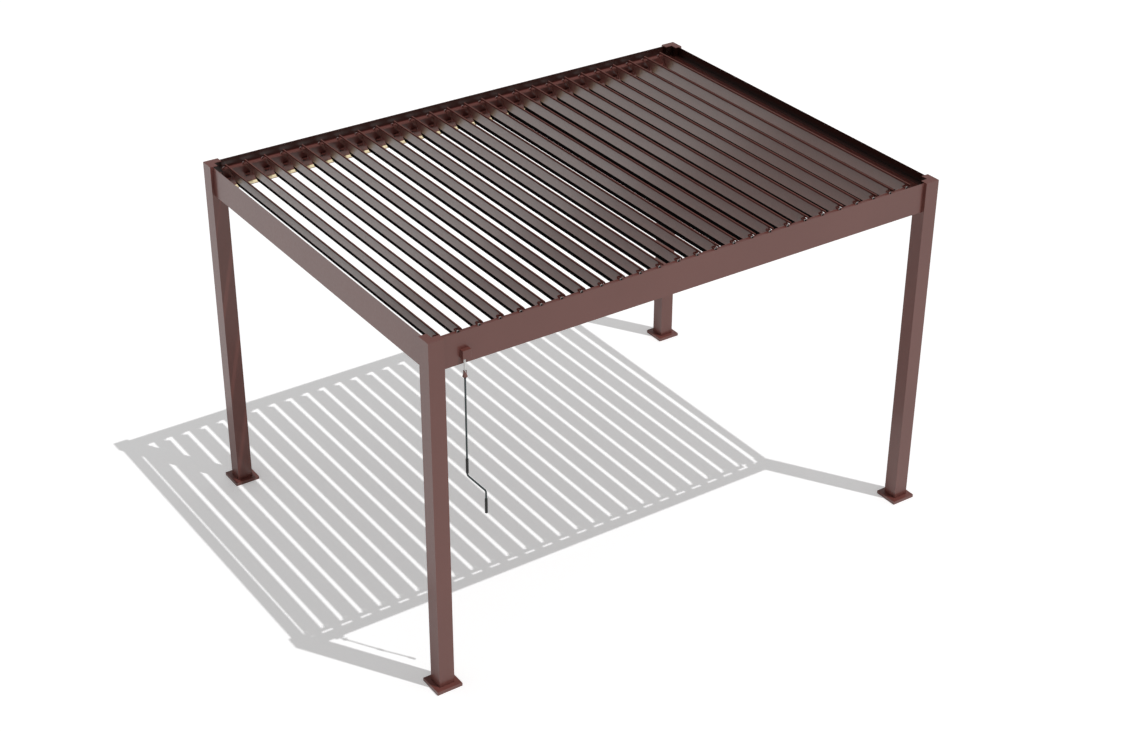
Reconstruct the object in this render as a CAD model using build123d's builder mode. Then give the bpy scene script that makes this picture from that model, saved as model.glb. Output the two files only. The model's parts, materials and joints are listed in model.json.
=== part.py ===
"""Louvered pergola: four posts, a frame of hollow beams and a roof of turning louvers.

Millimetres, Z up. The origin is on the ground, in the middle of everything that the pergola covers.
The front is the side with the crank, at -Y, and left is -X.
"""
import os
from math import cos, radians, sin

from build123d import *

os.makedirs("parts", exist_ok=True)

# Overall size, over the outer faces of the posts
length = 4000.0
depth = 3000.0
height = 2570.0

# Posts, their feet and caps
post_width = 110.0
post_wall = 2.5
foot_width = 185.0
foot_height = 25.0
foot_bevel = 2.0
foot_plate = 8.0
cover_wall = 2.5
cover_clearance = 0.3
cover_gap = 1.5
spigot_length = 120.0
spigot_wall = 4.0
spigot_clearance = 0.3
anchor_hole = 11.0
anchor_spacing = 150.0
cap_plate = 4.0
notch_width = 54.0
notch_depth = 140.0
cap_skirt = 2.0

# Beams: a hollow box with a tall outer web above it
beam_setback = 21.0
beam_wall = 2.5
web_drop = 4.0
web_height = 66.0
box_height = 150.0
long_box_width = 44.0
short_box_width = 40.0

# Louvers: hollow blades that turn about the middle of their width
louver_pitch = 147.3
louver_room = 5.0
blade_width = 184.0
blade_thickness = 12.0
blade_wall = 1.8
blade_edge = 1.0
chamber_count = 3
pivot_drop = 24.5
open_angle = 67.4
blade_end = 128.5
end_plate = 3.0
nose_width = 18.0
nose_thickness = 6.5
nose_groove = 5.0
nose_groove_depth = 2.5
front_nose_end = 71.0
back_nose_end = 94.0
gutter_width = 47.0
gutter_floor = 4.5
seal_width = 47.0
seal_depth = 2.7

# Arms and pins on both ends of each blade
arm_thickness = 3.0
arm_gap = 5.5
drive_back = 69.0
drive_drop = 24.0
drive_radius = 4.0
pivot_radius = 5.0
pivot_overlap = 2.0
hub_radius = 11.0
drive_hub_radius = 9.0
boss_back = 50.0
boss_radius = 5.0
pin_clearance = 0.05

# Bearing brackets on the inner faces of the long beams
bracket_width = 68.0
bracket_drop = 32.5
bracket_height = 40.0
bracket_plate = 4.0
bracket_arm = 6.0
upright_thickness = 5.0
upright_gap = 1.0
upright_base = 44.0
upright_radius = 13.0

# Link bars, which join the drive pins of all the louvers
link_start = 74.0
link_width = 35.0
link_height = 8.0
link_wall = 1.8
link_below_pin = 4.5
link_overhang = 12.0
link_groove = 4.0
link_groove_depth = 1.2
clip_width = 18.0
clip_thickness = 5.0
clip_top = 8.5
clip_corner = 5.0

# Light strips under the long beams' inner faces
light_height = 20.0
light_depth = 12.0
light_lift = 2.5
light_end_gap = 20.0

# Gearbox, eye and crank
gear_left = 228.0
gear_width = 59.0
gear_height = 58.0
gear_lift = 44.0
gear_depth = 32.0
gear_fillet = 3.0
eye_side = 248.0
eye_out = 5.0
eye_radius = 5.5
eye_socket = 25.0
ball_drop = 97.0
ball_radius = 7.5
neck_radius = 4.0
neck_length = 19.0
neck_clearance = 0.5
coupler_above = 12.0
coupler_below = 32.0
coupler_top_radius = 10.0
coupler_radius = 11.0
coupler_skirt_radius = 15.5
coupler_tip_radius = 12.0
coupler_edge = 4.0
crank_tilt = 45.0
rod_radius = 6.0
rod_top = 14.0
rod_drop = 732.0
throw_side = 70.0
throw_out = 99.0
throw_drop = 86.0
handle_length = 158.0
bend_radius = 25.0
grip_radius = 8.5
grip_length = 104.0
grip_end = 2.0
grip_lift = 17.0

# The crank's handle reaches out in front, so the plan's middle lies forward of the posts' middle
front_reach = depth / 2 - eye_out + throw_out + grip_radius
back_reach = depth / 2 + (foot_width - post_width) / 2
middle_y = (front_reach - back_reach) / 2
left_face = -length / 2
front_face = middle_y - depth / 2
back_face = middle_y + depth / 2
beam_length_x = length - 2 * post_width
beam_length_y = depth - 2 * post_width
web_top = height - web_drop
box_top = web_top - web_height
beam_bottom = box_top - box_height
notch_floor = height - notch_depth
corners = {
    "front_left": (-1, -1),
    "front_right": (1, -1),
    "back_left": (-1, 1),
    "back_right": (1, 1),
}
sides = {"front": (front_face, 1), "back": (back_face, -1)}
nose_ends = {"front": front_nose_end, "back": back_nose_end}
louver_span = length - 2 * (beam_setback + short_box_width + louver_room) - blade_width
louver_count = int(louver_span / louver_pitch) + 1
first_pivot = -louver_pitch * (louver_count - 1) / 2
pivot_height = box_top - pivot_drop
arm_station = blade_end - arm_gap - arm_thickness
upright_station = arm_station - upright_gap - upright_thickness
clip_station = link_start + (link_width - clip_thickness) / 2
gear_x = left_face + gear_left
eye_x = left_face + eye_side
eye_y = front_face + eye_out
gear_bottom = beam_bottom + gear_lift
ball_height = gear_bottom - ball_drop
bend_height = ball_height - rod_drop


def pivot_x(number):
    """The place along X of one louver's pivot, counted from 0 at the left."""
    return first_pivot + louver_pitch * number


def turned(u, w):
    """A point of the blade's own section, across and up, turned to the open pose."""
    angle = radians(open_angle)
    return u * cos(angle) + w * sin(angle), w * cos(angle) - u * sin(angle)


def station(side, distance):
    """The Y of a plane that lies a distance inward from the posts' outer faces."""
    face, direction = sides[side]
    return face + direction * distance


def across(side, distance):
    """A plane across Y whose own axes are X and Z, a distance inward from the posts' outer faces."""
    return Plane(origin=(0, station(side, distance), 0), x_dir=(1, 0, 0), z_dir=(0, -1, 0))


def inward(side, amount):
    """The signed length of an extrusion from such a plane toward the middle of the pergola."""
    return -amount * sides[side][1]


def save(name, part):
    """Labels a finished piece and writes it."""
    part.label = name
    export_step(part, f"parts/{name}.step")


def post_centre(corner):
    """The plan centre of the post at one corner."""
    side_x, side_y = corners[corner]
    x = side_x * (length - post_width) / 2
    y = middle_y + side_y * (depth - post_width) / 2
    return x, y


def notch_centre(corner):
    """The plan centre of the quarter that is cut away at a post's top, on the roof's side."""
    side_x, side_y = corners[corner]
    x, y = post_centre(corner)
    inset = (post_width - notch_width) / 2
    return x - side_x * inset, y - side_y * inset


def make_feet():
    """Bored base plates, each with a hollow spigot that stands inside the post."""
    plate_width = foot_width - 2 * cover_wall - 2 * cover_clearance
    spigot = post_width - 2 * post_wall - 2 * spigot_clearance
    for corner in corners:
        centre = post_centre(corner)
        with BuildPart() as foot:
            with BuildSketch(Plane.XY):
                with Locations(centre):
                    Rectangle(plate_width, plate_width)
                    with GridLocations(anchor_spacing, anchor_spacing, 2, 2):
                        Circle(anchor_hole / 2, mode=Mode.SUBTRACT)
            extrude(amount=foot_plate)
            with BuildSketch(Plane.XY.offset(foot_plate)):
                with Locations(centre):
                    Rectangle(spigot, spigot)
                    Rectangle(spigot - 2 * spigot_wall, spigot - 2 * spigot_wall, mode=Mode.SUBTRACT)
            extrude(amount=spigot_length)
        save(f"foot_{corner}", foot.part)


def make_foot_covers():
    """Bevelled trays turned over the base plates, which hide the anchors, with the post through them."""
    inside = foot_width - 2 * cover_wall
    opening = post_width + 2 * cover_gap
    for corner in corners:
        centre = post_centre(corner)
        with BuildPart() as cover:
            with BuildSketch(Plane.XY):
                with Locations(centre):
                    Rectangle(foot_width, foot_width)
                    Rectangle(opening, opening, mode=Mode.SUBTRACT)
            extrude(amount=foot_height)
            rim = cover.edges().group_by(Axis.Z)[-1].sort_by(SortBy.LENGTH)[-4:]
            chamfer(rim, length=foot_bevel)
            with BuildSketch(Plane.XY):
                with Locations(centre):
                    Rectangle(inside, inside)
            extrude(amount=foot_height - cover_wall, mode=Mode.SUBTRACT)
        save(f"foot_cover_{corner}", cover.part)


def make_posts():
    """Square tubes with one quarter cut away at the top for the link bars and the gutters."""
    tube_top = height - cap_plate
    inner = post_width - 2 * post_wall
    for corner in corners:
        with BuildPart() as post:
            with BuildSketch(Plane.XY.offset(foot_plate)):
                with Locations(post_centre(corner)):
                    Rectangle(post_width, post_width)
                    Rectangle(inner, inner, mode=Mode.SUBTRACT)
            extrude(amount=tube_top - foot_plate)
            with BuildSketch(Plane.XY.offset(notch_floor)):
                with Locations(notch_centre(corner)):
                    Rectangle(notch_width, notch_width)
            extrude(amount=notch_depth, mode=Mode.SUBTRACT)
        save(f"post_{corner}", post.part)


def make_post_caps():
    """L-shaped caps whose skirts close the two arms of the post's top toward the notch."""
    tube_top = height - cap_plate
    for corner, (side_x, side_y) in corners.items():
        centre = post_centre(corner)
        notch = notch_centre(corner)
        skirt = notch_width + cap_skirt
        inner = post_width - 2 * post_wall
        skirt_centre = (notch[0] + side_x * cap_skirt / 2, notch[1] + side_y * cap_skirt / 2)
        with BuildPart() as cap:
            with BuildSketch(Plane.XY.offset(tube_top)):
                with Locations(centre):
                    Rectangle(post_width, post_width)
                with Locations(notch):
                    Rectangle(notch_width, notch_width, mode=Mode.SUBTRACT)
            extrude(amount=cap_plate)
            with BuildSketch(Plane.XY.offset(notch_floor)):
                with Locations(skirt_centre):
                    Rectangle(skirt, skirt)
                with Locations(centre):
                    Rectangle(inner, inner, mode=Mode.INTERSECT)
                with Locations(notch):
                    Rectangle(notch_width, notch_width, mode=Mode.SUBTRACT)
            extrude(amount=tube_top - notch_floor)
        save(f"post_cap_{corner}", cap.part)


def beam_profile(width, direction):
    """The beam's section: across from the outer face, and height, as a box under a web."""
    with Locations((direction * width / 2, beam_bottom + box_height / 2)):
        Rectangle(width, box_height)
        Rectangle(width - 2 * beam_wall, box_height - 2 * beam_wall, mode=Mode.SUBTRACT)
    with Locations((direction * beam_wall / 2, box_top + web_height / 2)):
        Rectangle(beam_wall, web_height)


def make_long_beams():
    """The front and back beams, between the posts."""
    for side, (_, direction) in sides.items():
        origin = (-beam_length_x / 2, station(side, beam_setback), 0)
        plane = Plane(origin=origin, x_dir=(0, 1, 0), z_dir=(1, 0, 0))
        with BuildPart() as beam:
            with BuildSketch(plane):
                beam_profile(long_box_width, direction)
            extrude(amount=beam_length_x)
        save(f"beam_{side}", beam.part)


def make_short_beams():
    """The left and right beams, between the posts."""
    for side, direction in {"left": 1, "right": -1}.items():
        x = -direction * (length / 2 - beam_setback)
        plane = Plane(origin=(x, middle_y + beam_length_y / 2, 0), x_dir=(1, 0, 0), z_dir=(0, -1, 0))
        with BuildPart() as beam:
            with BuildSketch(plane):
                beam_profile(short_box_width, direction)
            extrude(amount=beam_length_y)
        save(f"beam_{side}", beam.part)


def make_light_strips():
    """Light channels along the lower edge of the long beams' inner faces."""
    for side, (_, direction) in sides.items():
        y = station(side, beam_setback + long_box_width)
        strip_length = beam_length_x - 2 * light_end_gap
        origin = (-strip_length / 2, y, beam_bottom + light_lift)
        plane = Plane(origin=origin, x_dir=(0, 1, 0), z_dir=(1, 0, 0))
        with BuildPart() as strip:
            with BuildSketch(plane):
                with Locations((direction * light_depth / 2, light_height / 2)):
                    Rectangle(light_depth, light_height)
            extrude(amount=strip_length)
            far = strip.faces().sort_by(Axis.Y)[-1 if direction > 0 else 0]
            chamfer(far.edges().filter_by(Axis.X), length=light_depth / 4)
        save(f"light_strip_{side}", strip.part)


def blade_sketch(section):
    """The hollow blade: a thin nose, chambers, and a gutter on the low edge over a groove for a seal."""
    half = blade_width / 2
    inside = blade_thickness - 2 * blade_wall
    gutter_end = half - blade_wall
    gutter_start = gutter_end - gutter_width
    nose_start = nose_width - half
    nose_hollow = nose_width - nose_groove - 2 * blade_wall
    span = (gutter_start - nose_start - blade_wall) / chamber_count
    Rectangle(blade_width, blade_thickness)
    chamfer(section.vertices(), length=blade_edge)
    with Locations((gutter_end - gutter_width / 2, gutter_floor / 2)):
        Rectangle(gutter_width, blade_thickness - gutter_floor, mode=Mode.SUBTRACT)
    with Locations((gutter_end - seal_width / 2, (seal_depth - blade_thickness) / 2)):
        Rectangle(seal_width, seal_depth, mode=Mode.SUBTRACT)
    with Locations((nose_start - nose_width / 2, nose_thickness / 2)):
        Rectangle(nose_width, blade_thickness - nose_thickness, mode=Mode.SUBTRACT)
    with Locations((nose_start - nose_groove / 2, (nose_groove_depth - blade_thickness) / 2)):
        Rectangle(nose_groove, nose_groove_depth, mode=Mode.SUBTRACT)
    with Locations((blade_wall - half + nose_hollow / 2, (nose_thickness - blade_thickness) / 2)):
        Rectangle(nose_hollow, nose_thickness - 2 * blade_wall, mode=Mode.SUBTRACT)
    for number in range(chamber_count):
        with Locations((nose_start + span * (number + 0.5), 0)):
            Rectangle(span - blade_wall, inside, mode=Mode.SUBTRACT)


def make_blade():
    """One louver lying flat about its pivot, with arms and pins on its front and back ends."""
    half = blade_width / 2
    nose_start = nose_width - half
    nose_middle = nose_start - (nose_groove + nose_width) / 2
    plug_end = half - blade_wall - gutter_width
    plug_height = blade_thickness - blade_wall
    with BuildPart() as blade:
        with BuildSketch(across("back", back_nose_end)) as section:
            blade_sketch(section)
        extrude(amount=station("back", back_nose_end) - station("front", front_nose_end))
        for side, nose_end in nose_ends.items():
            with BuildSketch(across(side, blade_end)):
                with Locations((nose_width / 2, 0)):
                    Rectangle(blade_width - nose_width, 2 * blade_thickness)
            extrude(amount=inward(side, nose_end - blade_end), mode=Mode.SUBTRACT)
            with BuildSketch(across(side, nose_end)):
                with Locations((nose_middle, (nose_thickness - blade_thickness) / 2)):
                    Rectangle(nose_width - nose_groove - blade_wall, nose_thickness - blade_wall)
            extrude(amount=inward(side, end_plate))
            with BuildSketch(across(side, blade_end)):
                with Locations(((nose_start + plug_end) / 2, 0)):
                    Rectangle(plug_end - nose_start, plug_height)
            extrude(amount=inward(side, end_plate))
            with BuildSketch(across(side, arm_station)):
                Circle(hub_radius)
                with Locations((-drive_back, -drive_drop)):
                    Circle(drive_hub_radius)
                with Locations((-boss_back, 0)):
                    Circle(boss_radius)
                make_hull()
            extrude(amount=inward(side, arm_thickness))
            with BuildSketch(across(side, arm_station + arm_thickness)):
                with Locations((0, 0), (-boss_back, 0)):
                    Circle(boss_radius)
            extrude(amount=inward(side, arm_gap + end_plate / 2))
            with BuildSketch(across(side, upright_station - pivot_overlap)):
                Circle(pivot_radius)
            extrude(amount=inward(side, arm_station - upright_station + pivot_overlap + arm_thickness / 2))
            with BuildSketch(across(side, clip_station - pivot_overlap)):
                with Locations((-drive_back, -drive_drop)):
                    Circle(drive_radius)
            extrude(amount=inward(side, arm_station - clip_station + pivot_overlap + arm_thickness / 2))
    return blade.part


def make_louvers():
    """The row of louvers, each turned to the open pose on its own pivot."""
    blade = make_blade()
    for number in range(louver_count):
        with BuildPart() as louver:
            with Locations(Location((pivot_x(number), 0, pivot_height), (0, open_angle, 0))):
                add(blade)
        save(f"louver_{number + 1:02d}", louver.part)


def make_bracket(side):
    """One bearing: a plate on the beam, an arm under the link bar and an upright with the bore."""
    seat = beam_setback + long_box_width
    top = -bracket_drop
    with BuildPart() as bracket:
        with BuildSketch(across(side, seat)):
            with Locations((0, top - bracket_height / 2)):
                Rectangle(bracket_width, bracket_height)
        extrude(amount=inward(side, bracket_plate))
        with BuildSketch(across(side, seat)):
            with Locations((0, top - bracket_arm / 2)):
                Rectangle(bracket_width, bracket_arm)
        extrude(amount=inward(side, upright_station + upright_thickness - seat))
        with BuildSketch(across(side, upright_station)):
            Circle(upright_radius)
            with Locations((0, top - bracket_arm / 2)):
                Rectangle(upright_base, bracket_arm)
            make_hull()
            Circle(pivot_radius + pin_clearance, mode=Mode.SUBTRACT)
        extrude(amount=inward(side, upright_thickness))
    return bracket.part


def make_bearings():
    """The bearings of all the louvers on one long beam, as separate solids."""
    for side in sides:
        bracket = make_bracket(side)
        with BuildPart() as bearings:
            with Locations(*[(pivot_x(number), 0, pivot_height) for number in range(louver_count)]):
                add(bracket)
        save(f"bearings_{side}", bearings.part)


def make_clip(side):
    """One upright clip on a link bar, bored for a louver's drive pin."""
    with BuildPart() as clip:
        with BuildSketch(across(side, clip_station)) as outline:
            with Locations((0, (clip_top - link_below_pin) / 2)):
                Rectangle(clip_width, clip_top + link_below_pin)
            chamfer(outline.vertices().group_by(Axis.Z)[-1], length=clip_corner)
            Circle(drive_radius + pin_clearance, mode=Mode.SUBTRACT)
        extrude(amount=inward(side, clip_thickness))
    return clip.part


def make_link_bars():
    """The bars that join all the louvers' drive pins, front and back, each with its clips."""
    pin_x, pin_z = turned(-drive_back, -drive_drop)
    pin_height = pivot_height + pin_z
    bar_top = pin_height - link_below_pin
    bar_start = pivot_x(0) + pin_x - link_overhang
    bar_length = louver_pitch * (louver_count - 1) + 2 * link_overhang
    for side in sides:
        middle = station(side, link_start + link_width / 2)
        plane = Plane(origin=(bar_start, middle, bar_top - link_height / 2), x_dir=(0, 1, 0), z_dir=(1, 0, 0))
        clip = make_clip(side)
        with BuildPart() as bar:
            with BuildSketch(plane):
                Rectangle(link_width, link_height)
                Rectangle(link_width - 2 * link_wall, link_height - 2 * link_wall, mode=Mode.SUBTRACT)
                groove_x = sides[side][1] * link_width / 4
                with Locations((groove_x, (link_height - link_groove_depth) / 2)):
                    Rectangle(link_groove, link_groove_depth, mode=Mode.SUBTRACT)
            extrude(amount=bar_length)
            with Locations(*[(pivot_x(number) + pin_x, 0, pin_height) for number in range(louver_count)]):
                add(clip)
        save(f"link_bar_{side}", bar.part)


def make_gearbox():
    """The gearbox on the front beam, with the socket that the eye's shaft turns in."""
    with BuildPart() as gearbox:
        with BuildSketch(Plane.XY.offset(gear_bottom)):
            with Locations((gear_x + gear_width / 2, station("front", beam_setback - gear_depth / 2))):
                Rectangle(gear_width, gear_depth)
        extrude(amount=gear_height)
        upright_edges = gearbox.edges().filter_by(Axis.Z).group_by(Axis.Y)[0]
        fillet(upright_edges, radius=gear_fillet)
        with BuildSketch(Plane.XY.offset(gear_bottom)):
            with Locations((eye_x, eye_y)):
                Circle(eye_radius + pin_clearance)
        extrude(amount=eye_socket, mode=Mode.SUBTRACT)
    save("gearbox", gearbox.part)


def make_eye():
    """The pale shaft under the gearbox, which ends in a neck and a ball."""
    shoulder = ball_height + neck_length
    with BuildPart() as eye:
        with Locations((eye_x, eye_y, ball_height)):
            Sphere(ball_radius)
        with BuildSketch(Plane.XY.offset(ball_height)):
            with Locations((eye_x, eye_y)):
                Circle(neck_radius)
        extrude(amount=neck_length)
        with BuildSketch(Plane.XY.offset(shoulder)):
            with Locations((eye_x, eye_y)):
                Circle(eye_radius)
        extrude(amount=gear_bottom + eye_socket - pivot_overlap - shoulder)
    save("gear_eye", eye.part)


def make_coupler():
    """The bell that hangs on the ball, slotted in front so that the crank can swing out."""
    mouth = neck_radius + neck_clearance
    lean = radians(crank_tilt + 1)
    reach = coupler_above / cos(lean) + coupler_skirt_radius
    slot = [
        (0, 0),
        (0, reach),
        (-reach * sin(lean) - mouth * cos(lean), reach * cos(lean) - mouth * sin(lean)),
        (-mouth * cos(lean), -mouth * sin(lean)),
    ]
    outline = [
        (0, coupler_above),
        (coupler_top_radius, coupler_above),
        (coupler_radius, coupler_above - coupler_edge),
        (coupler_radius, -ball_radius),
        (coupler_skirt_radius, coupler_edge - coupler_below),
        (coupler_tip_radius, -coupler_below),
        (0, -coupler_below),
    ]
    section = Plane(origin=(eye_x, eye_y, ball_height), x_dir=(1, 0, 0), z_dir=(0, -1, 0))
    swing = Plane(origin=(eye_x, eye_y, ball_height), x_dir=(0, 1, 0), z_dir=(1, 0, 0))
    with BuildPart() as coupler:
        with BuildSketch(section):
            with BuildLine():
                Polyline(*outline, close=True)
            make_face()
        revolve(axis=Axis((eye_x, eye_y, 0), (0, 0, 1)))
        with Locations((eye_x, eye_y, ball_height)):
            Sphere(ball_radius + pin_clearance, mode=Mode.SUBTRACT)
        with BuildSketch(Plane.XY.offset(ball_height)):
            with Locations((eye_x, eye_y)):
                Circle(mouth)
        extrude(amount=coupler_above, mode=Mode.SUBTRACT)
        with BuildSketch(swing):
            with BuildLine():
                Polyline(*slot, close=True)
            make_face()
        extrude(amount=mouth, both=True, mode=Mode.SUBTRACT)
        with BuildSketch(Plane.XY.offset(ball_height - coupler_below)):
            with Locations((eye_x, eye_y)):
                Circle(rod_radius + pin_clearance)
        extrude(amount=coupler_below - rod_top + neck_clearance, mode=Mode.SUBTRACT)
    save("crank_coupler", coupler.part)


def make_crank():
    """The bent crank rod and its two sleeve grips."""
    tip = (eye_x + throw_side, eye_y - throw_out)
    handle_top = bend_height - throw_drop
    handle_end = handle_top - handle_length
    route = [
        (eye_x, eye_y, ball_height - rod_top),
        (eye_x, eye_y, bend_height),
        (*tip, handle_top),
        (*tip, handle_end),
    ]
    with BuildPart() as rod:
        with BuildLine() as path:
            FilletPolyline(*route, radius=bend_radius)
        with BuildSketch(Plane(origin=route[0], x_dir=(1, 0, 0), z_dir=(0, 0, -1))):
            Circle(rod_radius)
        sweep(path=path.wires()[0])
    save("crank_rod", rod.part)
    bore = rod_radius + pin_clearance
    with BuildPart() as grips:
        with BuildSketch(Plane.XY.offset(bend_height + grip_lift)):
            with Locations((eye_x, eye_y)):
                Circle(grip_radius)
                Circle(bore, mode=Mode.SUBTRACT)
        extrude(amount=grip_length)
        with BuildSketch(Plane.XY.offset(handle_end - grip_end)):
            with Locations(tip):
                Circle(grip_radius)
        extrude(amount=grip_length)
        with BuildSketch(Plane.XY.offset(handle_end)):
            with Locations(tip):
                Circle(bore)
        extrude(amount=grip_length, mode=Mode.SUBTRACT)
    save("crank_grips", grips.part)


make_feet()
make_foot_covers()
make_posts()
make_post_caps()
make_long_beams()
make_short_beams()
make_light_strips()
make_bearings()
make_link_bars()
make_louvers()
make_gearbox()
make_eye()
make_coupler()
make_crank()
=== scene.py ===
# %% [markdown]
# # A louvered pergola in brown powder coat
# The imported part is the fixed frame: four posts, four hollow beams, twenty-six turning louvers and
# the crank that opens them. This lesson dresses it. Every piece could be modelled again here, but
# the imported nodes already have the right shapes, so they only get finishes, and new meshes are
# made for the trim alone. Each new piece rides on the body that carries it, so the same scene
# stays right when the louvers close or the crank swings out.

# %% Load the frame
import json
import math

import bpy
import bmesh
import numpy as np
from mathutils import Matrix, Vector


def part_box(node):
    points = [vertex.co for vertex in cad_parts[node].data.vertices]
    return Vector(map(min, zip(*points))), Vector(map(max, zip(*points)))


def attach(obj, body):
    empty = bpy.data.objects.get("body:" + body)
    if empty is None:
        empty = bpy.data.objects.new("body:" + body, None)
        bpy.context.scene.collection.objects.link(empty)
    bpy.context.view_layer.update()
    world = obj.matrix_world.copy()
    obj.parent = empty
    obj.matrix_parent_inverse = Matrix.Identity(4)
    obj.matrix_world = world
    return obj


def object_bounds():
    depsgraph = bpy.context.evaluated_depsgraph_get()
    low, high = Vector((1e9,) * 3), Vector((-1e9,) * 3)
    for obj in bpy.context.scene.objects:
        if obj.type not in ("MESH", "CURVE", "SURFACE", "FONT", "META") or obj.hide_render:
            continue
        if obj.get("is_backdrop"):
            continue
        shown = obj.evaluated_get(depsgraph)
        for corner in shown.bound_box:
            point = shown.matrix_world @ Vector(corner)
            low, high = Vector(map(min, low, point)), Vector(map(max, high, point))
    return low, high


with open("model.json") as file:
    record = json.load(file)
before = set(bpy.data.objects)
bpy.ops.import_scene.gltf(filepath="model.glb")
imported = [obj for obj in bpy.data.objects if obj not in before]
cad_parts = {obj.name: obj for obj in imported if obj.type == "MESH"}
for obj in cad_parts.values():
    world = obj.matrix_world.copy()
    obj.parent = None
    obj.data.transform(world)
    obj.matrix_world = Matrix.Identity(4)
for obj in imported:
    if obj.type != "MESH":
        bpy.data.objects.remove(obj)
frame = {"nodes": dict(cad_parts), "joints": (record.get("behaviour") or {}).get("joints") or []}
cad_low, cad_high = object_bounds()
nodes = frame["nodes"]
joint_at = {joint["name"]: Vector(joint["pos_m"]) for joint in frame["joints"] if "pos_m" in joint}
louvers = sorted(name for name in nodes if name.startswith("louver_"))
mm = 0.001
print(len(nodes), "nodes,", len(louvers), "louvers, box", [round(v, 3) for v in cad_high - cad_low])

# %% [markdown]
# ## Camera
# The picture was taken from high up, off the front left corner, with a long lens. A camera could be
# turned by eye until it looks right, but a small error in its place changes the whole perspective.
# This one was fitted to the corners of the posts and feet. Its place is measured from the nearest
# corner, so it follows the part, and its aim is a heading, a tilt and a slight roll.

# %% Camera
near_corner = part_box("post_front_left")[0]
from_corner = Vector((-5.1115, -8.9439, 8.4816))
heading = 34.286
tilt = -30.522
roll = 0.298
focal_length = 64.80
sensor_width = 36.0
farthest_seen = 200.0

camera_data = bpy.data.cameras.new("camera")
camera_data.lens = focal_length
camera_data.sensor_width = sensor_width
camera_data.sensor_fit = "HORIZONTAL"
camera_data.clip_end = farthest_seen
camera = bpy.data.objects.new("camera", camera_data)
bpy.context.scene.collection.objects.link(camera)
# An unturned camera looks straight down, so a level view is already a turn of 90 degrees about X.
aim = Matrix.Rotation(math.radians(-heading), 4, "Z")
aim = aim @ Matrix.Rotation(math.radians(90 + tilt), 4, "X")
aim = aim @ Matrix.Rotation(math.radians(roll), 4, "Z")
stand = Vector((near_corner.x, near_corner.y, 0)) + from_corner
camera.matrix_world = Matrix.Translation(stand) @ aim
bpy.context.scene.camera = camera
print("camera at", [round(v, 3) for v in stand])

# %% [markdown]
# ## Mesh helpers
# The trim of a pergola is extruded or turned, so each added piece is a surface over two parameters:
# one runs round a profile and one along it. Bevelled curves could give the same forms. Numpy is
# used because it works out all the points at once, each from a short formula, and whole arrays of
# quads then join them.


# %% Straight extrusions
def tube_faces(rings, sides):
    """Quads between neighbouring rings of a closed profile, ring by ring, and a cap on each end."""
    ring = np.arange(rings - 1)[:, None] * sides
    side = np.arange(sides)[None, :]
    after = (side + 1) % sides
    quads = np.stack([ring + side, ring + after, ring + sides + after, ring + sides + side], axis=-1)
    caps = [list(range(sides))[::-1], list(range((rings - 1) * sides, rings * sides))]
    return quads.reshape(-1, 4).tolist() + caps


def swept(profile, start, end, across, up):
    """A straight extrusion of a profile of x and y, for t from 0 to 1 along it:

    point(i, t) = start + t * (end - start) + x(i) * across + y(i) * up.
    """
    profile = np.asarray(profile, float)
    section = profile[:, :1] * np.asarray(across, float) + profile[:, 1:] * np.asarray(up, float)
    ends = np.array([start, end], float)
    points = (ends[:, None, :] + section[None, :, :]).reshape(-1, 3)
    return points, tube_faces(2, len(profile))


print("a square bar has", len(tube_faces(2, 4)), "faces")


# %% One finished piece
def finished(name, shapes, material, body, smooth_angle=35.0):
    """Makes one mesh object of all the shapes, with doubles merged and faces outward, on its body."""
    points, faces, count = [], [], 0
    for shape_points, shape_faces in shapes:
        points.append(shape_points)
        faces += [[index + count for index in face] for face in shape_faces]
        count += len(shape_points)
    mesh = bpy.data.meshes.new(name)
    mesh.from_pydata(np.concatenate(points).tolist(), [], faces)
    work = bmesh.new()
    work.from_mesh(mesh)
    bmesh.ops.remove_doubles(work, verts=work.verts, dist=1e-6)
    bmesh.ops.dissolve_degenerate(work, edges=work.edges, dist=1e-7)
    bmesh.ops.recalc_face_normals(work, faces=work.faces)
    work.to_mesh(mesh)
    work.free()
    mesh.shade_smooth()
    mesh.set_sharp_from_angle(angle=math.radians(smooth_angle))
    mesh.materials.append(material)
    piece = bpy.data.objects.new(name, mesh)
    bpy.context.scene.collection.objects.link(piece)
    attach(piece, body)


# %% [markdown]
# ## Patterns for the finishes
# No surface of the real pergola is quite even, so each finish gets patterns. Image textures would
# need every beam unwrapped, and they repeat on long pieces. The patterns here are procedural and
# read Object coordinates, which are metres in the part's own frame, so a grain has the same size
# on every piece.


# %% Noise and its range
def new_material(name):
    """A node material with its shader, and the object coordinates that its patterns read."""
    material = bpy.data.materials.new(name)
    material.use_nodes = True
    tree = material.node_tree
    shader = tree.nodes["Principled BSDF"]
    place = tree.nodes.new("ShaderNodeTexCoord").outputs["Object"]
    return material, tree, shader, place


def noise(tree, place, scale, detail=2.0, stretch=(1, 1, 1)):
    """Noise over the object: a larger scale is finer, and a stretch below 1 draws it out on that axis."""
    mapping = tree.nodes.new("ShaderNodeMapping")
    mapping.inputs["Scale"].default_value = stretch
    tree.links.new(place, mapping.inputs["Vector"])
    texture = tree.nodes.new("ShaderNodeTexNoise")
    texture.inputs["Scale"].default_value = scale
    texture.inputs["Detail"].default_value = detail
    tree.links.new(mapping.outputs["Vector"], texture.inputs["Vector"])
    return texture.outputs["Fac"]


noise_low, noise_high = 0.3, 0.7


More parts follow.
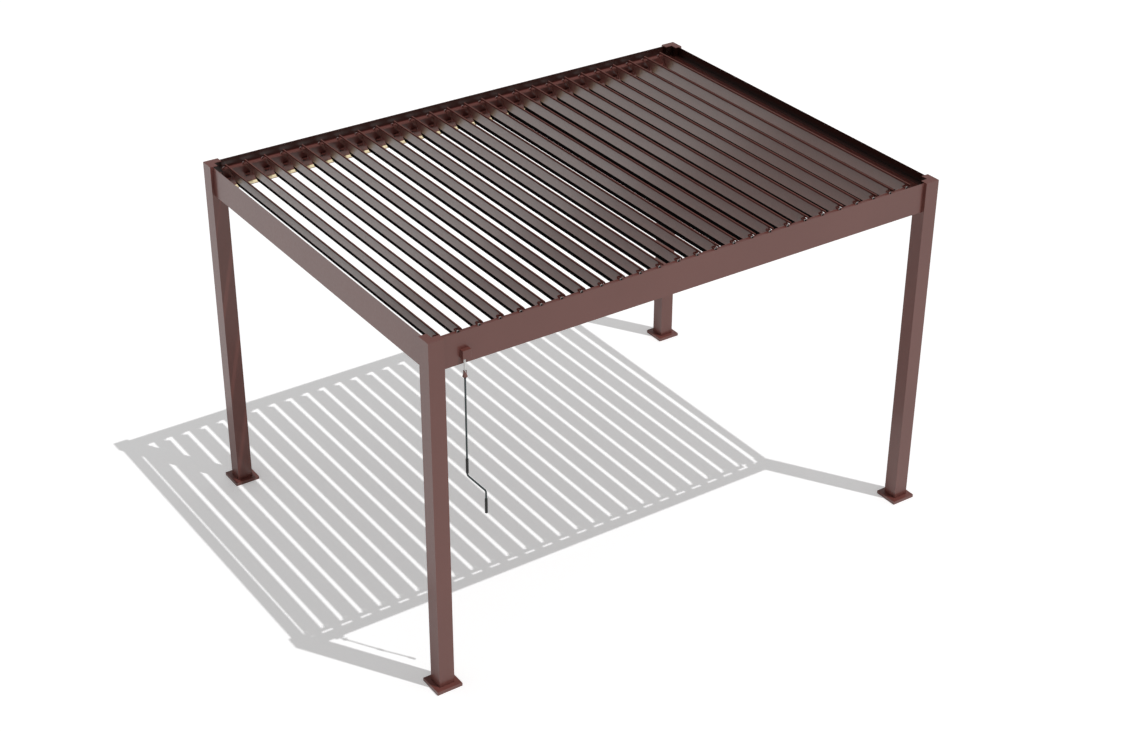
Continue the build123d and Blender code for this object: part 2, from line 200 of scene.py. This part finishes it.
def spread(tree, value, low, high):
    """A noise value stretched from the range where most noise lies to the range that is wanted."""
    ranger = tree.nodes.new("ShaderNodeMapRange")
    ranger.inputs["From Min"].default_value = noise_low
    ranger.inputs["From Max"].default_value = noise_high
    ranger.inputs["To Min"].default_value = low
    ranger.inputs["To Max"].default_value = high
    tree.links.new(value, ranger.inputs["Value"])
    return ranger.outputs["Result"]


# %% Colour and relief
def mix_colours(tree, factor, first, second):
    """Two colours mixed by a pattern. Each is plain numbers or the output of another node."""
    mix = tree.nodes.new("ShaderNodeMix")
    mix.data_type = "RGBA"
    tree.links.new(factor, mix.inputs["Factor"])
    # The node has sockets for each data type: 6 and 7 take the colours, and output 2 gives them.
    for colour, socket in ((first, mix.inputs[6]), (second, mix.inputs[7])):
        if isinstance(colour, tuple):
            socket.default_value = (*colour, 1)
        else:
            tree.links.new(colour, socket)
    return mix.outputs[2]


def bump(tree, shader, value, strength, distance):
    """Relief on the shader's normal, worked from a pattern and laid over any relief before it."""
    node = tree.nodes.new("ShaderNodeBump")
    node.inputs["Strength"].default_value = strength
    node.inputs["Distance"].default_value = distance
    tree.links.new(value, node.inputs["Height"])
    before = shader.inputs["Normal"].links
    if before:
        tree.links.new(before[0].from_socket, node.inputs["Normal"])
    tree.links.new(node.outputs["Normal"], shader.inputs["Normal"])


# %% [markdown]
# ## Painted shade in the channel inside the roof
# Behind the tall outer webs of the beams lies a channel where little light gets in, and its faces
# look nearly black. That shade is painted into their colour, and the same painted shade goes on the
# inner faces of the posts' notches. A second skin inside the webs could carry it, but it would lie in
# the same place as the imported faces. A mask from the coordinates paints it in: a face gets the
# nearly black painted shade where it lies inside a box of the channel's size.

# %% Places of the channel
long_low, long_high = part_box("beam_front")[0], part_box("beam_back")[1]
middle_y = (long_low.y + long_high.y) / 2
# The webs are 2.5 mm thick, so this edge lies within them and their outer faces stay brown.
within_web = 2.0 * mm
web_height = 66.0 * mm
cap_plate = 4.5 * mm
web_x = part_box("beam_right")[1].x - within_web
web_y = (long_high.y - long_low.y) / 2 - within_web
box_top = long_high.z - web_height
roof_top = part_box("post_cap_back_right")[1].z
everywhere = 10.0
print("channel from", round(box_top, 3), "to", round(roof_top, 3), "m high")


# %% A mask for the painted shade
def calculate(tree, operation, first, second=0.0):
    """One Math node, whose second value is a number or the output of another node."""
    node = tree.nodes.new("ShaderNodeMath")
    node.operation = operation
    tree.links.new(first, node.inputs[0])
    if isinstance(second, float):
        node.inputs[1].default_value = second
    else:
        tree.links.new(second, node.inputs[1])
    return node.outputs["Value"]


def inside_channel(tree, place, half_x, half_y, low, high):
    """1 where |x| < half x, |y - middle| < half y and low < z < high, and 0 elsewhere."""
    split = tree.nodes.new("ShaderNodeSeparateXYZ")
    tree.links.new(place, split.inputs["Vector"])
    x, y, z = split.outputs
    off_middle = calculate(tree, "SUBTRACT", y, middle_y)
    near_x = calculate(tree, "LESS_THAN", calculate(tree, "ABSOLUTE", x), half_x)
    near_y = calculate(tree, "LESS_THAN", calculate(tree, "ABSOLUTE", off_middle), half_y)
    above = calculate(tree, "GREATER_THAN", z, low)
    below = calculate(tree, "LESS_THAN", z, high)
    in_plan = calculate(tree, "MULTIPLY", near_x, near_y)
    in_height = calculate(tree, "MULTIPLY", above, below)
    return calculate(tree, "MULTIPLY", in_plan, in_height)


# %% [markdown]
# ## Powder coat
# Posts, beams and louvers are aluminium with a brown powder coat, baked to a satin film with faint
# dimples. Extruded profiles also carry fine die lines along their length. One flat colour could
# pass from afar, but close up the film catches the light unevenly, so its tone, its gloss and its
# two reliefs each follow a pattern of their own size.

# %% Powder coat
brown_light = (0.165, 0.052, 0.043)
brown_dark = (0.149, 0.045, 0.037)
warm_gloss = (1.0, 0.98, 0.90)
cloud_scale, gloss_scale, dimple_scale, die_line_scale = 1.7, 60.0, 420.0, 240.0
gloss_change = 0.04


def powder_coat(name, roughness, coat, die_lines=None, channel=None, tint=warm_gloss):
    """Baked satin paint: cloudy tone, dimples a few millimetres wide, and die lines if extruded.

    Die lines are drawn out along the profile by a stretch. A channel is where shade is painted in:
    its half widths in X and Y, its lowest and highest level and the painted shade's colour.
    """
    material, tree, shader, place = new_material(name)
    cloud = spread(tree, noise(tree, place, cloud_scale, detail=3.0), 0, 1)
    colour = mix_colours(tree, cloud, brown_dark, brown_light)
    if channel:
        # Inside the channel the paint's colour is replaced by painted shade.
        *extent, painted_shade_colour = channel
        colour = mix_colours(tree, inside_channel(tree, place, *extent), colour, painted_shade_colour)
    tree.links.new(colour, shader.inputs["Base Color"])
    gloss = noise(tree, place, gloss_scale, detail=3.0)
    gloss = spread(tree, gloss, roughness - gloss_change, roughness + gloss_change)
    tree.links.new(gloss, shader.inputs["Roughness"])
    dimples = noise(tree, place, dimple_scale, detail=1.0)
    bump(tree, shader, dimples, strength=0.06, distance=0.4 * mm)
    if die_lines:
        lines = noise(tree, place, die_line_scale, detail=1.0, stretch=die_lines)
        bump(tree, shader, lines, strength=0.05, distance=0.3 * mm)
    shader.inputs["Specular IOR Level"].default_value = 0.5
    shader.inputs["Specular Tint"].default_value = (*tint, 1)
    shader.inputs["Coat Weight"].default_value = coat
    shader.inputs["Coat Roughness"].default_value = 0.2
    return material


# %% Paints for each kind of profile
along_x = (0.01, 1, 1)
along_y = (1, 0.01, 1)
along_z = (1, 1, 0.01)
green_gloss = (0.98, 1.0, 0.80)
# Colours of painted shade: nearly black, where little light gets into the channels and notches.
long_painted_shade = (0.038, 0.010, 0.008)
cross_painted_shade = (0.018, 0.003, 0.002)
corner_painted_shade = (0.012, 0.002, 0.001)
# The painted shade leaves the tops of the long beams' boxes brown. It covers those of the cross beams and
# the notches.
above_box, below_box, below_notch = 6.0 * mm, 2.0 * mm, 10.0 * mm
long_shaded_channel = (everywhere, web_y, box_top + above_box, roof_top, long_painted_shade)
cross_shaded_channel = (web_x, everywhere, box_top - below_box, roof_top, cross_painted_shade)
corner_shaded_channel = (web_x, web_y, box_top - below_notch, roof_top - cap_plate, corner_painted_shade)

satin, cast_satin = 0.36, 0.40
thick_coat, cast_coat, thin_coat, louver_coat = 0.45, 0.40, 0.25, 0.20
# The posts', beams' and caps' paints carry painted shade in their channels and notches.
post_paint_and_shade = powder_coat("post_paint_and_shade", satin, thick_coat, along_z, corner_shaded_channel)
long_paint = powder_coat("long_paint", satin, thin_coat, along_x)
louver_paint = powder_coat("louver_paint", satin, louver_coat, along_y, tint=green_gloss)
long_beam_paint_and_shade = powder_coat("long_beam_paint_and_shade", satin, thick_coat, along_x, long_shaded_channel)
cross_beam_paint_and_shade = powder_coat("cross_beam_paint_and_shade", satin, thick_coat, along_y, cross_shaded_channel)
cap_paint_and_shade = powder_coat("cap_paint_and_shade", cast_satin, cast_coat, channel=corner_shaded_channel)
cast_paint = powder_coat("cast_paint", cast_satin, cast_coat)
print("a cast piece's paint has", len(cast_paint.node_tree.nodes), "nodes")

# %% [markdown]
# ## Rubber, metals and plastics
# The seals are black rubber and the rings on the clips zinc. The screws and the pins' clips are
# dark, the crank's rod is a deep grey green, and the shaft under the gearbox is white plastic. The
# light strip's cover glows a warm cream even by day. Each could have a node tree of its own, but
# they differ only in tone, gloss, grain and relief, so one helper makes them all.


# %% Rubber and metals
def plain_finish(name, light, dark, roughness, metallic=0.0, scale=300.0, relief=0.08, specular=0.5):
    """A finish with a slightly mottled tone and roughness and a fine relief."""
    material, tree, shader, place = new_material(name)
    speckle = noise(tree, place, scale)
    tone = mix_colours(tree, spread(tree, speckle, 0, 1), dark, light)
    tree.links.new(tone, shader.inputs["Base Color"])
    gloss = spread(tree, speckle, roughness - 0.05, roughness + 0.05)
    tree.links.new(gloss, shader.inputs["Roughness"])
    shader.inputs["Metallic"].default_value = metallic
    shader.inputs["Specular IOR Level"].default_value = specular
    bump(tree, shader, speckle, relief, distance=0.3 * mm)
    return material


rubber = plain_finish("seal_rubber", (0.006, 0.006, 0.006), (0.003, 0.003, 0.003),
                      roughness=0.95, specular=0.0)
lip_rubber = plain_finish("lip_rubber", (0.150, 0.048, 0.040), (0.130, 0.040, 0.033),
                          roughness=0.85, specular=0.15)
zinc = plain_finish("zinc", (0.80, 0.80, 0.79), (0.66, 0.66, 0.65),
                    roughness=0.38, metallic=0.35, scale=900.0, relief=0.04)
dark_metal = plain_finish("dark_metal", (0.020, 0.020, 0.020), (0.012, 0.012, 0.012),
                          roughness=0.5, metallic=0.3, scale=500.0)
coupler_metal = plain_finish("coupler_metal", (0.24, 0.12, 0.10), (0.17, 0.08, 0.07),
                             roughness=0.35, metallic=0.3, scale=500.0)
rod_metal = plain_finish("rod_metal", (0.034, 0.052, 0.053), (0.026, 0.041, 0.042),
                         roughness=0.30, metallic=0.2, scale=700.0)
print("a plain finish has", len(rubber.node_tree.nodes), "nodes")

# %% Plastics
white_plastic = plain_finish("white_plastic", (0.86, 0.86, 0.84), (0.80, 0.80, 0.78), roughness=0.25)
grip_plastic = plain_finish("grip_plastic", (0.022, 0.020, 0.020), (0.014, 0.013, 0.013), roughness=0.5)
light_cover = plain_finish("light_cover", (0.92, 0.80, 0.52), (0.88, 0.76, 0.48), roughness=0.4)
cover_shader = light_cover.node_tree.nodes["Principled BSDF"]
cover_shader.inputs["Emission Color"].default_value = (1.0, 0.86, 0.52, 1)
cover_shader.inputs["Emission Strength"].default_value = 0.20
print("plastics", [plastic.name for plastic in (white_plastic, grip_plastic, light_cover)])

# %% [markdown]
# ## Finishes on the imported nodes
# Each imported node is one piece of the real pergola, so it takes one finish. That could be given
# node by node, but the names tell the kind of each piece, so a short list of how names begin is
# enough. The first line that fits a name wins.

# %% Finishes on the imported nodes
finish_by_start = [
    ("louver_", louver_paint),
    ("beam_left", cross_beam_paint_and_shade),
    ("beam_right", cross_beam_paint_and_shade),
    ("beam_", long_beam_paint_and_shade),
    ("post_cap", cap_paint_and_shade),
    ("post_", post_paint_and_shade),
    ("foot", cast_paint),
    ("gearbox", cast_paint),
    ("link_bar", long_paint),
    ("bearings", long_paint),
    ("light_strip", light_cover),
    ("gear_eye", white_plastic),
    ("crank_coupler", coupler_metal),
    ("crank_rod", rod_metal),
    ("crank_grips", grip_plastic),
]
for name in nodes:
    materials = nodes[name].data.materials
    materials.clear()
    materials.append(next(finish for start, finish in finish_by_start if name.startswith(start)))
print(len(nodes), "packed nodes dressed")

# %% [markdown]
# ## Louver seals
# A wide strip of black rubber fills the groove under each louver's gutter, so that closed louvers
# meet softly. Its ribs could be drawn with bump, but at the ends and against the light they show in
# outline. So it is one profile with four low rounded ribs, carried along the blade, and it turns
# with its louver.

# %% Section of a blade
# The frame gives each louver's pivot. The section's sizes are repeated from the part's source.
open_angle = math.radians(67.4)
blade_half = 92.0 * mm
blade_thickness = 12.0 * mm
blade_wall = 1.8 * mm
underside = -blade_thickness / 2
blade_across = Vector((math.cos(open_angle), 0, -math.sin(open_angle)))
blade_up = Vector((math.sin(open_angle), 0, math.cos(open_angle)))
outer_face = {"front": near_corner.y, "back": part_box("post_back_left")[1].y}


def along_blade(name, profile, across, up, front_end, back_end):
    """A profile carried along one louver, from a place in the blade's own section."""
    origin = joint_at[f"{name}_turn"] + blade_across * across + blade_up * up
    start = (origin.x, outer_face["front"] + front_end, origin.z)
    end = (origin.x, outer_face["back"] - back_end, origin.z)
    return swept(profile, start, end, blade_across, blade_up)


print("the first louver turns about", [round(v, 3) for v in joint_at["louver_01_turn"]])

# %% Louver seals
seal_width = 47.0 * mm
seal_depth = 2.7 * mm
rib_height = 0.8 * mm
rib_count = 4
points_per_rib = 8
seal_end = 128.5 * mm
groove_start = blade_half - blade_wall - seal_width


def seal_profile():
    """The groove's section filled from its floor, for s from 0 to 1 across it:

    under(s) = -depth - rib * |sin(ribs * pi * s)|.
    """
    share = np.linspace(0, 1, points_per_rib * rib_count + 1)
    ribs = rib_height * np.abs(np.sin(rib_count * np.pi * share))
    under = np.stack([share * seal_width, -seal_depth - ribs], axis=1)
    return np.concatenate([under, [[seal_width, 0], [0, 0]]])


for name in louvers:
    strip = along_blade(name, seal_profile(), groove_start, underside + seal_depth, seal_end, seal_end)
    finished(name.replace("louver", "seal"), [strip], rubber, name)
print(len(louvers), "seals")

# %% [markdown]
# ## Louver lips
# A soft brown lip is pressed into the narrow groove by each louver's high edge and lies flat under
# the nose. It has two low beads, so it breaks up the floor's reflection in two fine reddish lines.
# A texture could draw the lines, but only a shape of its own catches the light on each bead.

# %% Louver lips
lip_width = 12.4 * mm
lip_edge = 0.4 * mm
lip_skin = 0.3 * mm
lip_sunk = 0.05 * mm
bead_height = 0.8 * mm
bead_count = 2
points_per_bead = 8
lip_front, lip_back = 76.0 * mm, 99.0 * mm


def lip_profile():
    """The lip from its edge, for s from 0 to 1 across it, and then its foot in the groove:

    under(s) = -skin - bead * |sin(beads * pi * s)|.
    """
    share = np.linspace(0, 1, points_per_bead * bead_count + 1)
    under = -lip_skin - bead_height * np.abs(np.sin(bead_count * np.pi * share))
    foot_start, foot_end, foot_top = 13.2 * mm, 17.8 * mm, 2.4 * mm
    foot = [(foot_start, -lip_skin), (foot_end, -lip_skin), (foot_end, foot_top), (foot_start, foot_top)]
    top = [(foot_start, lip_sunk), (lip_edge, lip_sunk)]
    return np.concatenate([np.stack([lip_edge + share * lip_width, under], axis=1), foot, top])


for name in louvers:
    strip = along_blade(name, lip_profile(), -blade_half, underside, lip_front, lip_back)
    finished(name.replace("louver", "lip"), [strip], lip_rubber, name)
print(len(louvers), "lips")

# %% [markdown]
# ## Pins and screws
# A bright zinc ring with a flat foot on each link bar clip stops the louver's drive pin, whose dark
# socket-head screw shows in its middle. A round clip stops each pivot pin behind its bearing, and
# two dark hexagon screws hold each bearing on the beam. They could be instances of one mesh, but
# copies worked out together keep each row a single piece on a single body.

# %% Places of the pins
drive_pin = blade_across * (-69.0 * mm) + blade_up * (-24.0 * mm)
clip_face = 89.0 * mm
bearing_face = 114.0 * mm
inward_from = {"front": 1, "back": -1}


def at_station(side, place, distance):
    """A place moved to a distance inward from the posts' outer faces on one side."""
    return Vector((place.x, outer_face[side] + inward_from[side] * distance, place.z))


print("drive pins", round(drive_pin.length / mm, 1), "mm from the pivots")


# %% A flat ring
def loop_faces(rings, sides):
    """Quads between neighbouring rings of a section that closes on itself, as a torus does."""
    row = np.arange(rings)[:, None] * sides
    column = np.arange(sides)[None, :]
    after = (column + 1) % sides
    below = (row + sides) % (rings * sides)
    quads = np.stack([row + column, row + after, below + after, below + column], axis=-1)
    return quads.reshape(-1, 4).tolist()


def plate_ring(centre, inner, outer, flat, thickness, sides=32):
    """A flat ring in the X and Z plane: each point is centre + r(a) * (cos a, 0, sin a) + h * (0, 1, 0).

    The outer radius is r(a) = min(outer, flat / -sin a) below the middle, which cuts the foot flat.
    Both edges of the far face are bevelled by four tenths of the thickness.
    """
    angle = (np.arange(sides) + 0.5) * 2 * np.pi / sides
    down = np.maximum(-np.sin(angle), 1e-6)
    rim = np.minimum(outer, flat / down)
    bore = np.full(sides, inner)
    bevel = 0.4 * abs(thickness)
    radii = np.stack([bore, rim, rim, rim - bevel, bore + bevel, bore])
    heights = np.array([0, 0, 0.6, 1, 1, 0.6])[:, None] * thickness + np.zeros(sides)
    rings = np.stack([radii * np.cos(angle), heights, radii * np.sin(angle)], axis=-1)
    return (rings + np.array(centre, float)).reshape(-1, 3), loop_faces(len(radii), sides)


print("a plate ring has", len(loop_faces(6, 32)), "faces")

# %% Rings on the link bars' clips
ring_inner, ring_outer, ring_flat, ring_thickness = 4.4 * mm, 10.5 * mm, 4.2 * mm, 2.0 * mm
for side, inward in inward_from.items():
    rings = []
    for name in louvers:
        centre = at_station(side, joint_at[f"{name}_turn"] + drive_pin, clip_face)
        rings.append(plate_ring(centre, ring_inner, ring_outer, ring_flat, -inward * ring_thickness))
    finished(f"pin_rings_{side}", rings, zinc, "link_bars")
print(2 * len(louvers), "rings on the clips")


# %% A turned shape
def turned_shape(profile, centre, axis, sides=24):
    """A turned piece of radius r and height h: centre + h * axis + r * (cos a * side + sin a * other)."""
    profile = np.asarray(profile, float)
    axis = Vector(axis).normalized()
    side = axis.orthogonal().normalized()
    other = axis.cross(side)
    angle = np.arange(sides) * 2 * np.pi / sides
    circle = np.cos(angle)[:, None] * np.array(side) + np.sin(angle)[:, None] * np.array(other)
    rings = profile[:, 1][:, None, None] * np.array(axis) + profile[:, 0][:, None, None] * circle[None]
    return (rings + np.array(centre, float)).reshape(-1, 3), tube_faces(len(profile), sides)


def in_metres(profile):
    """A profile of pairs, such as radius and height, from millimetres to metres."""
    return np.array(profile) * mm


# %% Screws and clips on the louvers' pins
# Both profiles are pairs of radius and height in millimetres.
screw_head = [(0, 0), (5.6, 0), (6.0, 0.4), (6.0, 2.6), (5.2, 3.4), (2.9, 3.4), (2.9, 1.6), (0, 1.6)]
pin_cap = [(0, 0), (4.6, 0), (4.6, 0.4), (4.0, 1.0), (0, 1.2)]
pin_tip = 2.0 * mm
pin_clip_inner, pin_clip_outer = 5.0 * mm, 7.5 * mm
pin_clip_thickness, pin_clip_sunk = 1.0 * mm, 0.2 * mm

for name in louvers:
    pivot = joint_at[f"{name}_turn"]
    hardware = []
    for side, inward in inward_from.items():
        outward = (0, -inward, 0)
        drive_tip = at_station(side, pivot + drive_pin, clip_face - pin_tip)
        pivot_tip = at_station(side, pivot, bearing_face - pin_tip)
        clip_seat = at_station(side, pivot, bearing_face - pin_clip_sunk)
        hardware.append(turned_shape(in_metres(screw_head), drive_tip, outward))
        hardware.append(turned_shape(in_metres(pin_cap), pivot_tip, outward))
        hardware.append(plate_ring(clip_seat, pin_clip_inner, pin_clip_outer, pin_clip_outer,
                                   -inward * pin_clip_thickness, 24))
    finished(name.replace("louver", "pins"), hardware, dark_metal, name)
print(len(louvers), "sets of pin heads")

# %% Screws through the bearings' plates
# Each screw is a round flange with a hexagon on it, again of radius and height in millimetres.
screw_flange = [(0, 0), (8.0, 0), (8.0, 1.2), (0, 1.2)]
screw_hexagon = [(0, 1.0), (5.8, 1.8), (5.8, 6.0), (5.2, 6.6), (0, 6.6)]
flange_sides, hexagon_sides = 20, 6
bracket_face = 69.0 * mm
screw_spread = 22.0 * mm
screw_drop = 52.5 * mm

for side, inward in inward_from.items():
    screws = []
    for name in louvers:
        for across in (-screw_spread, screw_spread):
            place = joint_at[f"{name}_turn"] + Vector((across, 0, -screw_drop))
            seat = at_station(side, place, bracket_face)
            screws.append(turned_shape(in_metres(screw_flange), seat, (0, inward, 0), flange_sides))
            screws.append(turned_shape(in_metres(screw_hexagon), seat, (0, inward, 0), hexagon_sides))
    finished(f"bearing_screws_{side}", screws, dark_metal, "frame")
print(4 * len(louvers), "screws")

# %% [markdown]
# ## Crank fittings
# The coupler's skirt ends in a rolled band, and a dark ferrule closes it round the rod. A white
# sleeve covers the gearbox's shaft. The grips are soft sleeves with fine ribs, so that a hand holds
# them while they turn. A Screw modifier could turn them all, but a ring of sections needs no
# modifier and closes on itself, so each is a section carried round an upright axis.


# %% Coupler band and ferrule
def turned_ring(profile, centre, sides=40):
    """A ring about the upright axis from a closed section of radius r and height h, in millimetres:

    point(r, h, a) = centre + (r * cos a, r * sin a, h).
    """
    angle = np.arange(sides) * 2 * np.pi / sides
    section = in_metres(profile)
    rings = np.stack([section[:, :1] * np.cos(angle), section[:, :1] * np.sin(angle),
                      section[:, 1:] + np.zeros(sides)], axis=-1)
    return (rings + np.array(centre, float)).reshape(-1, 3), loop_faces(len(section), sides)


ball = joint_at["crank_swing"]
skirt = ball - Vector((0, 0, 28.0 * mm))
mouth = ball - Vector((0, 0, 32.0 * mm))
band = turned_ring([(15.2, 1.8), (15.9, 1.8), (15.9, -1.6), (15.2, -1.6)], skirt)
ferrule = turned_ring([(6.1, 0), (9.5, 0), (8.5, -9.0), (6.1, -9.0)], mouth)
finished("coupler_band", [band], coupler_metal, "crank_coupler")
finished("coupler_ferrule", [ferrule], dark_metal, "crank_coupler")
print("coupler at", [round(v, 3) for v in ball])

# %% Shaft sleeve
# The sleeve ends above the ball's middle, so that the coupler has room to swing.
shaft_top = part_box("gearbox")[0].z
above_ball = 15.0
sleeve_length = (shaft_top - ball.z) / mm - above_ball
sleeve = [(5.3, 0), (6.3, 0), (6.9, -0.6), (6.9, -sleeve_length + 1.5),
          (6.1, -sleeve_length), (5.3, -sleeve_length)]
sleeve_shape = turned_ring(sleeve, (ball.x, ball.y, shaft_top))
finished("shaft_sleeve", [sleeve_shape], white_plastic, "gear_eye")
print("shaft sleeve", round(sleeve_length, 1), "mm long")

# %% Grip sleeves
grip_low, grip_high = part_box("crank_grips")
grip_radius, grip_length = 8.5, 104.0
rib_pitch, rib_rise, rib_points = 4.0, 0.7, 4
skin_proud, skin_sunk = 0.05, 0.2


def ribbed_section():
    """A sleeve's section: r(z) = radius + rise * sin(pi * z / pitch) ** 2, over a straight inner side."""
    z = np.linspace(0, grip_length, int(grip_length / rib_pitch) * rib_points + 1)
    outer = grip_radius + skin_proud + rib_rise * np.sin(np.pi * z / rib_pitch) ** 2
    inner = np.array([[grip_radius - skin_sunk, grip_length], [grip_radius - skin_sunk, 0]])
    return np.concatenate([np.stack([outer, z], axis=1), inner])


upper_sleeve = (ball.x, ball.y, grip_high.z - grip_length * mm)
handle_sleeve = (grip_high.x - grip_radius * mm, grip_low.y + grip_radius * mm, grip_low.z)
sleeves = [turned_ring(ribbed_section(), place, 28) for place in (upper_sleeve, handle_sleeve)]
finished("grip_sleeves", sleeves, grip_plastic, "crank", smooth_angle=60.0)
print("grips at", [round(v, 3) for v in upper_sleeve], [round(v, 3) for v in handle_sleeve])

# %% [markdown]
# ## Light strips
# A cream cover closes each light channel. The channel's lower lip shows under it as a fine brown
# line, and a cap closes each end. The line could be painted on the cover, but the lip stands out
# and throws a shadow, so it is a small angle carried along the beam.

# %% Light strip trims
# Both profiles are pairs in millimetres: off the wall, and up from the strip's lower edge.
trim_angle = [(-0.4, -1.2), (12.6, -1.2), (12.6, 2.6), (11.6, 2.6), (11.6, -0.1), (-0.4, -0.1)]
end_cap = [(0, -1.2), (12.6, -1.2), (12.6, 17.4), (9.4, 20.6), (0, 20.6)]
cap_thickness = 3.0 * mm
up = (0, 0, 1)

for side, inward in inward_from.items():
    low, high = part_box(f"light_strip_{side}")
    wall = low.y if inward > 0 else high.y
    off_wall = (0, inward, 0)
    trims = [swept(in_metres(trim_angle), (low.x, wall, low.z), (high.x, wall, low.z), off_wall, up)]
    for x, outward in ((low.x, -1), (high.x, 1)):
        stop = x + outward * cap_thickness
        trims.append(swept(in_metres(end_cap), (x, wall, low.z), (stop, wall, low.z), off_wall, up))
    finished(f"light_trim_{side}", trims, long_paint, "frame")
print("light trims", [round(v, 3) for v in (high.x - low.x, low.z, high.z)])

# %% [markdown]
# ## Floor and light
# The pergola stands on a plain white floor. More lamps could make it white, but they would bleach
# the pergola too. So what the camera and mirror-like faces see of the floor is lifted a little, and
# that lift puts no light on the pergola. One sun stands over the viewer's right shoulder, and a
# plain dim sky fills the shade. The camera sees the sky as white as the floor.

# %% Floor
floor_size = 120.0
floor_white = 0.95
lift_for_camera = 0.26
lift_for_gloss = 0.11

bpy.ops.mesh.primitive_plane_add(size=floor_size, location=(0, 0, 0))
floor = bpy.context.object
floor.name = "floor"
floor_material, floor_tree, floor_shader, _ = new_material("floor_paint")
path = floor_tree.nodes.new("ShaderNodeLightPath")
camera_lift = calculate(floor_tree, "MULTIPLY", path.outputs["Is Camera Ray"], lift_for_camera)
gloss_lift = calculate(floor_tree, "MULTIPLY", path.outputs["Is Glossy Ray"], lift_for_gloss)
lift = calculate(floor_tree, "MAXIMUM", camera_lift, gloss_lift)
floor_tree.links.new(lift, floor_shader.inputs["Emission Strength"])
floor_shader.inputs["Emission Color"].default_value = (1, 1, 1, 1)
floor_shader.inputs["Base Color"].default_value = (floor_white, floor_white, floor_white, 1)
floor_shader.inputs["Roughness"].default_value = 0.9
floor_shader.inputs["Specular IOR Level"].default_value = 0.0
floor.data.materials.append(floor_material)
floor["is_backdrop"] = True
print("floor", floor_size, "m wide")

# %% Sun
sun_travel = Vector((-0.5635, 0.906, -2.568))
sun_strength = 1.7
sun_width = 0.4

sun_data = bpy.data.lights.new("sun", "SUN")
sun_data.energy = sun_strength
sun_data.angle = math.radians(sun_width)
sun = bpy.data.objects.new("sun", sun_data)
bpy.context.scene.collection.objects.link(sun)
sun.rotation_mode = "QUATERNION"
sun.rotation_quaternion = sun_travel.to_track_quat("-Z", "Y")
sun.location = -3 * sun_travel
print("sun", round(90 - math.degrees(sun_travel.angle(Vector((0, 0, -1)))), 1), "degrees high")

# %% Sky
sky_strength = 0.36

world = bpy.data.worlds.new("sky")
bpy.context.scene.world = world
world.use_nodes = True
sky_tree = world.node_tree
sky = sky_tree.nodes["Background"]
sky.inputs["Color"].default_value = (1, 1, 1, 1)
sky_path = sky_tree.nodes.new("ShaderNodeLightPath")
sky_seen = sky_tree.nodes.new("ShaderNodeMapRange")
sky_seen.inputs["To Min"].default_value = sky_strength
sky_tree.links.new(sky_path.outputs["Is Camera Ray"], sky_seen.inputs["Value"])
sky_tree.links.new(sky_seen.outputs["Result"], sky.inputs["Strength"])
bpy.context.scene.view_settings.view_transform = "Standard"
print("sky", sky_strength, "on the part and 1.0 to the camera")

# %% [markdown]
# ## Sizes
# The real pergola is no larger than its frame. That could be judged by eye, but the boxes before
# and after the dressing show in numbers how far the trim stands out.

# %% Sizes
shown_low, shown_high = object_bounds()
grown = (shown_high - shown_low) - (cad_high - cad_low)
print("grown by", [round(v / mm, 1) for v in grown], "mm")
